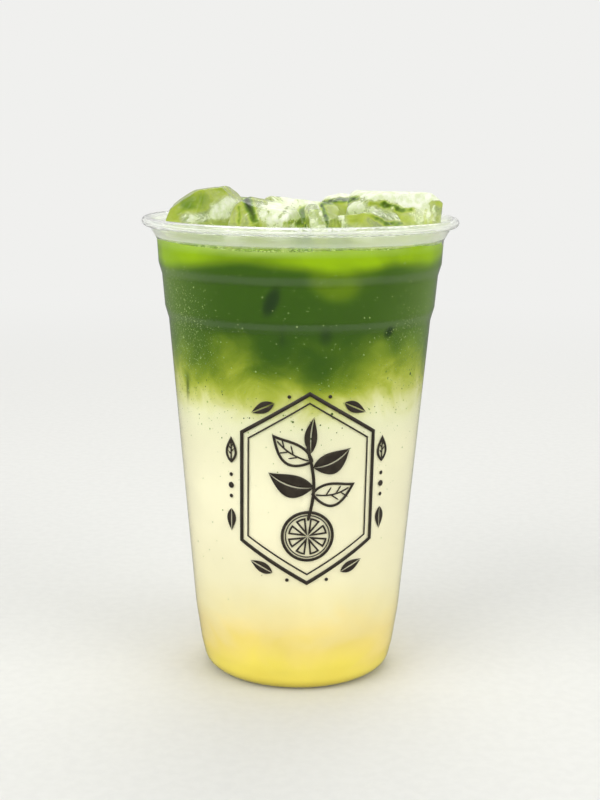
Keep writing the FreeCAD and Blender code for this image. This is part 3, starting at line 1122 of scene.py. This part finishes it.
        # Glow, side and top-edge values paint light; the sunk-ice and well values paint shade, and the film
        # is drawn-up tea darkened as painted shade.
        surface.values = {
            "level": z + total(mix, bearing, z) + self.amber_lift * away * amber,
            "glow": np.clip(glow, 0, 1),
            "deep": np.clip(total(self.sunk_ice_shade_spots, bearing, z), 0, 1),
            "pale": pale * np.clip((z - self.pale_from) / self.pale_rise, 0, 1),
            "side": haze_and_sheen * np.clip((z - self.side_from) / self.side_rise, 0, 1),
            "well": (np.where(z > self.soda_top + 5, np.clip((self.surface - z) / 5.0, 0, 1), 0)
                     * (np.hypot(x, y) < 40)),
            "film": np.clip((z - self.surface - 0.9) / 1.5, 0, 1)}
        return surface

    def outline(self) -> Array:
        """The inner outline pushed out along its normal, just into the wall, so no gap shows.

        Returns:
            Radius and height of each point, from the middle of the base upwards.
        """
        line = self.cup.outline_inside()
        ahead = np.gradient(line, axis=0)
        normal = np.stack([ahead[:, 1], -ahead[:, 0]], -1)
        normal /= np.linalg.norm(normal, axis=1)[:, None]
        pushed = line + self.sunk_in_wall * normal
        pushed[0, 0] = 0.0
        return pushed

    def radius(self, height: Array | float) -> Array:
        """Radius of the drink's side, from the outline above the heel.

        Args:
            height: one height or many.

        Returns:
            The radius at each.
        """
        line = self.outline()
        rising = line[int(np.argmax(line[:, 1] > self.heel)):]
        return np.interp(height, rising[:, 1], rising[:, 0])

    def resampled(self, line: Array, step: float) -> Array:
        """Points along a line at about equal steps.

        Args:
            line: the line's points.
            step: the distance wanted between points.

        Returns:
            The new points, from end to end.
        """
        run = np.concatenate([[0], np.cumsum(np.hypot(*np.diff(line, axis=0).T))])
        at = np.linspace(0, run[-1], max(int(run[-1] / step), 2) + 1)
        return np.stack([np.interp(at, run, line[:, 0]), np.interp(at, run, line[:, 1])], -1)

    def revolved(self, line: Array, hard: tuple[int, ...], finish_from: int | None = None) -> Surface:
        """Turns a line round the axis: radius and height become columns of points at each bearing.

        Args:
            line: radius and height from the axis below to the axis above.
            hard: numbers of the line's points whose ring is a hard edge.
            finish_from: first point of the line whose faces take the second finish.

        Returns:
            The closed surface.
        """
        ring, around = line[1:-1], np.arange(self.columns)
        bearing = around[None, :] * 360 / self.columns
        points = round_points(bearing, ring[:, :1], ring[:, 1:]).reshape(-1, 3)
        points = np.concatenate([points, [[0, 0, line[0, 1]], [0, 0, line[-1, 1]]]])
        beside, last = (around + 1) % self.columns, (len(ring) - 1) * self.columns
        low, high = np.full(self.columns, len(points) - 2), np.full(self.columns, len(points) - 1)
        caps = np.concatenate([np.stack([low, beside, around], -1),
                               np.stack([high, last + around, last + beside], -1)])
        made = Surface(points, grid_quads(len(ring), self.columns, True), caps, columns=self.columns)
        made.finish = np.zeros(len(made.quads) + len(caps))
        if finish_from is not None:
            made.finish[(finish_from - 1) * self.columns:len(made.quads)] = 1
            made.finish[-self.columns:] = 1
        made.hard = tuple(row - 1 for row in hard)
        return made

    def layer(self, low: float, high: float, step: float) -> tuple[Array, tuple[int, ...]]:
        """Outline of a layer between two heights, closed by flat caps.

        Args:
            low, high: its heights; the lowest layer ends in the cup's own base.
            step: distance between rows up the side.

        Returns:
            The line from axis to axis and the numbers of its hard corners.
        """
        line = self.outline()
        heights = np.linspace(low, high, int((high - low) / step) + 1)
        side = np.stack([self.radius(heights), heights], -1)
        inwards = np.stack([np.linspace(1, 0, 7), np.ones(7)], -1)
        start = side[0] * inwards[:0:-1]
        if low <= 0:
            bottom = np.concatenate([line[line[:, 1] < high], side[-1:]])
            side, start = self.resampled(bottom, step), start[:0]
        last = len(start) + len(side) - 1
        whole = np.concatenate([start, side, side[-1] * inwards[1:]])
        return whole, (last,) if low <= 0 else (len(start), last)

    def top(self, surface: Surface, rows: tuple[int, int], edge: float) -> None:
        """Shapes the open top: it climbs the wall, and dips into each ice block.

        The height is the surface plus climb times exp(-gap to the wall / width), less the depth
        inside a block times a steepness, held at the well's depth. Tea drawn up between two blocks
        adds a film, film_height times exp(-(width of the gap / film_width) squared).

        Args:
            surface: the top layer, whose points are moved.
            rows: first and last ring of the top.
            edge: radius of the wall there.
        """
        for where in (slice(rows[0] * self.columns, rows[1] * self.columns), slice(-1, None)):
            points = surface.points[where]
            x, y, _ = points.T
            gap, depth = edge - np.hypot(x, y), self.ice.depth(points)
            bearing = np.degrees(np.arctan2(x, -y))
            climb = self.climb + total(self.climbs, bearing, 0.0 * bearing)
            inside = np.maximum(depth - self.dip_from, 0)
            ripple = self.ripple * np.sin(x * 0.55 + 1.0) * np.cos(y * 0.62)
            near = np.exp(-np.maximum(-depth, 0) / self.wetting_width) * self.wetting
            film = self.film_height * np.exp(-((self.ice.pinch(points) / self.film_width) ** 2))
            film *= np.clip((gap - 5.0) / 4.0, 0, 1)
            points[:, 2] = (self.surface + climb * np.exp(-gap / self.climb_width) + ripple
                            + np.maximum(near, film) * (inside <= 0)
                            - np.minimum(inside * self.steep, self.well_depth))

    def build(self) -> None:
        """Makes the three layers."""
        clouded, open_top = LayeredDrink().make(), TeaSurface().make()
        for name, slot, low, high, step in (("syrup", Slot.SYRUP, 0.0, self.syrup_top, 0.7),
                                            ("soda", Slot.SODA, self.syrup_top, self.soda_top, 0.8)):
            surface = self.revolved(*self.layer(low, high, step))
            place(self.tinted(surface), name, slot, [clouded], name + "_layer")
        line, corners = self.layer(self.soda_top, self.surface, 0.45)
        edge, first_top = line[-7, 0], corners[1] + 1
        inward = np.concatenate([edge - np.array([0.25, 0.6, 1.1, 1.8]), np.linspace(edge - 2.4, 0, 100)])
        line = np.concatenate([line[:-6], [[edge + 0.06, self.surface + self.climb]],
                               np.stack([inward, np.full(len(inward), self.surface)], -1)])
        surface = self.revolved(line, (corners[0], first_top), first_top)
        self.top(surface, (first_top - 1, len(line) - 2), edge)
        place(self.tinted(surface), "matcha", Slot.MATCHA, [clouded, open_top], "matcha_layer")


@dataclass
class Bits:
    """Small things in the drink: wall bubbles, tea specks and froth.

    A drift of bubbles is its bearing and height, their spreads, and a count. A speck that shows is
    its bearing, height and radius.
    """

    drink: Drink
    wall_bubbles: tuple[tuple[float, float, float, float, int], ...] = (
        (-62, 112, 11, 9, 798), (-74, 118, 9, 9, 266), (-48, 108, 9, 8, 133), (56, 106, 12, 8, 209),
        (48, 112, 6, 4, 57), (10, 118, 30, 12, 114), (0, 98, 60, 14, 171), (-30, 92, 40, 10, 114),
        (150, 110, 40, 14, 200), (215, 108, 35, 12, 200), (105, 112, 25, 12, 110), (0, 60, 80, 30, 95))
    seen_specks: tuple[tuple[float, float, float], ...] = (
        (-2.5, 87.5, .34), (1.5, 85.2, .30), (9.5, 86.5, .26), (14.5, 89.8, .42), (5.5, 82.4, .30),
        (-8, 84.4, .2), (17, 84, .2), (-22, 88, .24), (27, 90, .22), (58, 99, .5), (52, 95, .24))
    lowest: float = 24.0
    highest: float = 134.0
    more_specks: int = 70
    ring_beads: int = 260
    loose_beads: int = 1500

    def on_wall(self, bearing: Array, height: Array) -> Array:
        """Points on the drink's side."""
        return round_points(bearing, self.drink.radius(height), height)

    def bubbles(self) -> None:
        """Bubbles that cling to the wall in drifts."""
        rng = np.random.default_rng(61)
        found = []
        for bearing, height, wide, tall, count in self.wall_bubbles:
            aside, up = rng.normal(size=count) * wide, rng.normal(size=count) * tall
            at = np.stack([bearing + aside, height + up], -1)
            found.append(at[(at[:, 1] > self.lowest) & (at[:, 1] < self.highest)])
        at = np.concatenate(found)
        size = np.clip(rng.gamma(1.6, 0.04, len(at)) + 0.08, 0.09, 0.28)
        # Their pale colour is painted: the highlights that bubbles catch against the wall.
        finish = Speckle("wall_bubbles", (172, 194, 116), (118, 150, 70), 0.2).make()
        place(beads(self.on_wall(*at.T), size, 5, 8, 0.55), "wall_bubbles", Slot.MATCHA, [finish])

    def specks(self) -> None:
        """Specks of undissolved tea below the meeting of the layers."""
        rng = np.random.default_rng(67)
        count = self.more_specks
        more = np.stack([rng.uniform(-180, 180, count), rng.normal(92, 6, count),
                         rng.uniform(0.1, 0.24, count)], -1)
        bearing, height, size = np.concatenate([self.seen_specks, more]).T
        finish = Speckle("tea_specks", (88, 112, 40), (54, 78, 28), 0.5).make()
        place(beads(self.on_wall(bearing, height), size, 5, 8, 0.4), "tea_specks", Slot.MATCHA, [finish])

    def froth(self) -> None:
        """Froth beads: near the wall, in the gaps and round the ice."""
        rng = np.random.default_rng(71)
        top, ice = self.drink.surface, self.drink.ice
        edge = float(self.drink.radius(top))
        count, more = self.ring_beads, self.loose_beads
        bearing = np.sort(rng.uniform(0, 360, count))
        size = np.clip(rng.gamma(2.0, 0.05, count) + 0.08, 0.1, 0.3)
        radius = edge - 0.25 - size * 0.9 - rng.integers(1, 4, count) * 0.75
        ring = round_points(bearing, radius, top + 1.0 * np.exp(-(edge - radius) / 1.6) + size * 0.15)
        around, away = rng.uniform(0, 360, more), edge * np.sqrt(rng.uniform(0, 1, more))
        loose = round_points(around, away, np.full(more, top + 0.1))
        loose_size = np.clip(rng.gamma(2.0, 0.09, more) + 0.1, 0.12, 0.55)
        keep = (-ice.depth(loose) > 0.2) & (away < edge - 2.0)
        clear = -ice.depth(ring) > 0.1
        middles = np.concatenate([ring[clear], loose[keep]])
        sizes = np.concatenate([size[clear], loose_size[keep]])
        finish = Speckle("froth", (206, 222, 140), (166, 192, 92), 0.16, 400).make()
        place(beads(middles, sizes, 5, 8), "froth", Slot.MATCHA, [finish])

    def build(self) -> None:
        """Makes all of them."""
        self.bubbles()
        self.specks()
        self.froth()


@dataclass
class FrontPrint:
    """A generic tea and citrus design in one ink, laid on the front of the wall.

    A motif is drawn flat, with u to the right and v up from the design's middle, in millimetres.
    """

    cup: Cup
    bearing: float = 4.7
    height: float = 66.5
    lift: float = 0.035
    frame_line: float = 1.15
    fine_line: float = 0.8
    rib_line: float = 0.5
    vein_line: float = 0.42
    stem_line: float = 0.95
    film: float = 0.045
    frame: tuple[Pair, ...] = ((0, 29.5), (20.5, 17), (20.5, -17), (0, -29.5), (-20.5, -17), (-20.5, 17))
    sprig: tuple[tuple, ...] = (
        ((0.6, 11.5), (1.4, 22.5), 1.9, 0.5, True), ((0.9, 9.0), (-10.5, 16.5), 3.3, 1.4, False),
        ((1.4, 7.0), (12.5, 12.5), 3.4, -1.4, True), ((1.5, 0.8), (-12.0, 5.2), 3.6, 1.6, True),
        ((1.3, -1.2), (13.8, 1.2), 3.5, -1.5, False))
    loose: tuple[tuple, ...] = (
        ((10.5, 26.5), (17.5, 23.2), 1.7, True), ((10.5, -26.5), (17.5, -23.2), 1.7, True),
        ((24.2, 7.5), (24.2, 14.5), 1.6, False), ((24.2, -7.5), (24.2, -14.5), 1.6, True))
    dots: tuple[tuple[float, float, float], ...] = (
        (24.2, 3.4, 0.6), (24.2, 0, 0.95), (24.2, -3.4, 0.6), (6.0, 28.6, 0.55), (6.0, -28.6, 0.55))
    wheel: Pair = (0.0, -14.5)

    def wrapped(self, flat: Array, quads: Array) -> Surface:
        """Lays flat points on the wall: the bearing is u over the radius, and the height is v.

        Args:
            flat: u and v of each point.
            quads: their faces.

        Returns:
            The points on the wall.
        """
        z = self.height + flat[:, 1]
        radius = self.cup.outer_radius(z) + self.lift
        return Surface(round_points(self.bearing + np.degrees(flat[:, 0] / radius), radius, z), quads)

    def stroke(self, path: Array, width: float, closed: bool = False) -> Surface:
        """A line of ink: each point of the path, moved half the width to both sides of it.

        The sideways step is the mean of the two runs' normals over one plus their product, so that
        corners keep the width. Open ends are rounded by narrowing over half a width.

        Args:
            path: points of the line, close together.
            width: its width.
            closed: whether it ends where it starts.

        Returns:
            The wrapped line.
        """
        ahead = np.roll(path, -1, axis=0) - path
        if not closed:
            ahead[-1] = ahead[-2]
        ahead /= np.linalg.norm(ahead, axis=1)[:, None]
        behind = np.roll(ahead, 1, axis=0)
        if not closed:
            behind[0] = ahead[0]
        normal, before = ahead[:, ::-1] * [-1, 1], behind[:, ::-1] * [-1, 1]
        side = (normal + before) / (1 + np.sum(normal * before, axis=1))[:, None]
        half = np.full(len(path), width / 2)
        if not closed:
            run = np.concatenate([[0], np.cumsum(np.hypot(*np.diff(path, axis=0).T))])
            near = np.clip(np.minimum(run, run[-1] - run) / (width / 2), 0.08, 1)
            half *= np.sqrt(1 - (1 - near) ** 2)
        steps = np.array([-1.0, 0.0, 1.0])
        flat = (path[:, None] + steps[None, :, None] * (side * half[:, None])[:, None]).reshape(-1, 2)
        rows = len(path) + (1 if closed else 0)
        quads = grid_quads(rows, 3)
        return self.wrapped(flat, quads % (len(path) * 3) if closed else quads)

    def dense(self, corners: list[Pair], closed: bool, step: float = 0.7) -> Array:
        """Straight runs between corners, with points at about equal steps.

        Args:
            corners: the corners in order.
            closed: whether the last runs back to the first.
            step: the distance wanted between points.

        Returns:
            The path's points.
        """
        ends = np.array([*corners, corners[0]] if closed else corners, float)
        run = np.concatenate([[0], np.cumsum(np.hypot(*np.diff(ends, axis=0).T))])
        at = np.unique(np.concatenate([run] + [np.linspace(a, b, max(int((b - a) / step), 1) + 1)
                                               for a, b in zip(run[:-1], run[1:])]))
        path = np.stack([np.interp(at, run, ends[:, 0]), np.interp(at, run, ends[:, 1])], -1)
        return path[:-1] if closed else path

    def leaf(self, base: Pair, tip: Pair, wide: float, bend: float,
             filled: bool) -> list[Surface]:
        """A leaf from base to tip.

        Its middle line is base + s (tip - base) + bend s (1 - s) sideways, and its half width is
        wide sin(pi s ** 0.8).

        Args:
            base, tip: its ends.
            wide: half width.
            bend: how far the middle line bows.
            filled: ink all over but for the midrib, or an outline with veins.

        Returns:
            Its ink.
        """
        s = np.linspace(0, 1, 34)
        start, way = np.array(base), np.array(tip) - np.array(base)
        side = np.array([-way[1], way[0]]) / np.hypot(*way)
        middle = start + s[:, None] * way + (bend * 4 * s * (1 - s))[:, None] * side
        half = wide * np.sin(np.pi * s**0.8)
        if filled:
            parts = []
            for hand in (-1.0, 1.0):
                share = np.linspace(0, 1, 6)
                gap = 0.22 * np.sin(np.pi * s) ** 0.5
                across = gap[:, None] + share[None, :] * np.maximum(half - gap, 0.03)[:, None]
                flat = (middle[:, None] + hand * across[..., None] * side).reshape(-1, 2)
                quads = grid_quads(len(s), 6)
                parts.append(self.wrapped(flat, quads if hand < 0 else quads[:, ::-1]))
            return parts
        edge = np.concatenate([middle + half[:, None] * side, (middle - half[:, None] * side)[-2:0:-1]])
        parts = [self.stroke(edge, self.fine_line, True), self.stroke(middle[2:-4], self.rib_line)]
        for share, hand in ((0.3, 1), (0.42, -1), (0.54, 1), (0.66, -1)):
            root = start + share * way + bend * 4 * share * (1 - share) * side
            out = root + 0.16 * way + hand * side * wide * 0.6
            parts.append(self.stroke(self.dense([tuple(root), tuple(out)], False, 0.5), self.vein_line))
        return parts

    def arc(self, centre: Pair, radius: float, start: float, end: float, width: float) -> Surface:
        """Part of a round line between two angles, or all of it.

        Args:
            centre, radius: its circle.
            start, end: its angles in degrees.
            width: the line's width.

        Returns:
            The line.
        """
        whole = abs(end - start) >= 360
        turn = np.radians(np.linspace(start, end, 73)[: 72 if whole else None])
        path = np.stack([centre[0] + radius * np.cos(turn), centre[1] + radius * np.sin(turn)], -1)
        return self.stroke(path, width, whole)

    def wedge(self, centre: Pair, inner: float, outer: float, start: float, end: float) -> Surface:
        """A citrus segment: a closed outline between two radii and two angles.

        Args:
            centre: the slice's middle.
            inner, outer: radii of its point and its rim.
            start, end: its angles in degrees.

        Returns:
            The outline.
        """
        low, high = np.radians([start, end])
        mid = (low + high) / 2
        turn = np.linspace(low + 0.10, high - 0.10, 14)
        rim = np.stack([outer * np.cos(turn), outer * np.sin(turn)], -1)
        point = inner * np.array([[math.cos(mid), math.sin(mid)]])
        path = np.concatenate([rim, rim[-1] + (point - rim[-1]) * np.linspace(0.2, 1, 6)[:, None],
                               point + (rim[0] - point) * np.linspace(0.2, 0.85, 5)[:, None]])
        return self.stroke(path + np.array(centre), 0.55, True)

    def dot(self, centre: Pair, radius: float) -> Surface:
        """A filled round dot: rings from nearly the middle to the edge.

        Args:
            centre, radius: its circle.

        Returns:
            The dot.
        """
        turn = np.linspace(0, 2 * np.pi, 21)[:-1]
        share = np.array([0.02, 0.5, 1.0])[:, None]
        flat = np.stack([centre[0] + radius * share * np.cos(turn),
                         centre[1] + radius * share * np.sin(turn)], -1)
        return self.wrapped(flat.reshape(-1, 2), grid_quads(3, 20, True))

    def build(self) -> None:
        """Draws and lays the whole design."""
        inner = [(u * 0.895, v * 0.905) for u, v in self.frame]
        ink = [self.stroke(self.dense(self.frame, True), self.frame_line, True),
               self.stroke(self.dense(inner, True), self.rib_line, True)]
        s = np.linspace(0, 1, 40)
        ink.append(self.stroke(np.stack([1.6 * np.sin(np.pi * s * 1.1), -9.5 + 23 * s], -1), self.stem_line))
        for shape in self.sprig:
            ink += self.leaf(*shape)
        ink += [self.arc(self.wheel, 7.6, 0, 360, 0.9), self.arc(self.wheel, 6.6, 0, 360, 0.35)]
        ink += [self.wedge(self.wheel, 1.2, 5.6, 45 * k + 4, 45 * k + 41) for k in range(8)]
        for hand in (-1, 1):
            for (u, v), (tip_u, tip_v), wide, filled in self.loose:
                ink += self.leaf((hand * u, v), (hand * tip_u, tip_v), wide, 0.0, filled)
            ink += [self.dot((hand * u, v), r) for u, v, r in self.dots]
        piece = place(Surface.joined(ink), "front_print", Slot.INK, [Ink().make()])
        thick = piece.modifiers.new("ink_film", "SOLIDIFY")
        thick.thickness, thick.offset = self.film * MM, -1.0


@dataclass(frozen=True)
class Lamp:
    """A soft square lamp that looks at the cup."""

    name: str
    bearing: float
    rise: float
    distance: float
    size: float
    power: float


@dataclass
class Set:
    """Camera, floor, world and lamps, in metres."""

    at: tuple[float, float, float] = (0.000326, -0.4372, 0.1739)
    pitch: float = 0.1976
    roll: float = 0.0088
    lens: float = 63.0
    ambient: float = 0.57
    aim_height: float = 0.07
    floor_half: float = 3000.0
    lamps: tuple[Lamp, ...] = (
        Lamp("key_lamp", -48, 36, 1.3, 0.9, 7.2), Lamp("fill_lamp", 58, 26, 1.4, 1.0, 6.5),
        Lamp("back_lamp", 170, 50, 1.4, 1.0, 6.0), Lamp("top_lamp", 0, 88, 1.3, 0.8, 3.0))

    def camera(self) -> None:
        """Makes the camera."""
        data = bpy.data.cameras.new("camera")
        data.lens, data.sensor_width, data.sensor_fit = self.lens, 36.0, "AUTO"
        data.clip_start, data.clip_end = 0.01, 20.0
        camera = added("camera", data)
        turn = Matrix.Rotation(math.pi / 2 - self.pitch, 4, "X") @ Matrix.Rotation(self.roll, 4, "Z")
        camera.matrix_world = Matrix.Translation(self.at) @ turn
        bpy.context.scene.camera = camera

    def floor(self) -> None:
        """Makes the floor: a wide flat grid under the cup."""
        along = np.linspace(-self.floor_half, self.floor_half, 13)
        x, y = np.meshgrid(along, along)
        flat = np.stack([x, y, np.full_like(x, -0.02)], -1).reshape(-1, 3)
        piece = Surface(flat, grid_quads(13, 13)).object("floor")
        piece.data.materials.append(Studio().make())

    def world(self) -> None:
        """Sets an even world: the backdrop's colour where it is seen, a softer level for light."""
        world = bpy.data.worlds.new("studio")
        bpy.context.scene.world = world
        world.use_nodes = True
        sky = Nodes(world.node_tree)
        path = sky.add("ShaderNodeLightPath").outputs
        light = sky.add("ShaderNodeBackground", {"Color": (1, 1, 1, 1), "Strength": self.ambient})
        look = sky.add("ShaderNodeBackground", {"Color": tone(*Studio.backdrop), "Strength": 1.0})
        seen = sky.math("MAXIMUM", path["Is Camera Ray"], path["Is Transmission Ray"])
        sky.add("ShaderNodeOutputWorld", {"Surface": sky.mixed(seen, light.outputs[0], look.outputs[0])})

    def light(self) -> None:
        """Makes the lamps."""
        for lamp in self.lamps:
            data = bpy.data.lights.new(lamp.name, "AREA")
            data.shape, data.size, data.energy = "SQUARE", lamp.size, lamp.power
            made = added(lamp.name, data)
            turn, rise = math.radians(lamp.bearing), math.radians(lamp.rise)
            away = Vector((math.sin(turn) * math.cos(rise), -math.cos(turn) * math.cos(rise), math.sin(rise)))
            made.location = away * lamp.distance + Vector((0, 0, self.aim_height))
            made.rotation_euler = away.to_track_quat("Z", "Y").to_euler()

    def build(self) -> None:
        """Makes everything round the object."""
        self.camera()
        self.floor()
        self.world()
        self.light()
        scene = bpy.context.scene
        scene.view_settings.view_transform = "Standard"
        scene.cycles.max_bounces = 24
        scene.cycles.transmission_bounces = 24


def main() -> None:
    """Builds every piece in order."""
    logging.basicConfig(level=logging.INFO, format="%(name)s: %(message)s")
    for name in ("Cube", "Light", "Camera"):
        if name in bpy.data.objects:
            bpy.data.objects.remove(bpy.data.objects[name])
    Set().build()
    cup = Cup(frame["nodes"]["cup"])
    cup.dress()
    ice = Ice(cup.surface)
    ice.build()
    drink = Drink(cup, ice)
    drink.build()
    Bits(drink).build()
    FrontPrint(cup).build()
    bpy.context.view_layer.update()


if __name__ == "__main__":
    main()
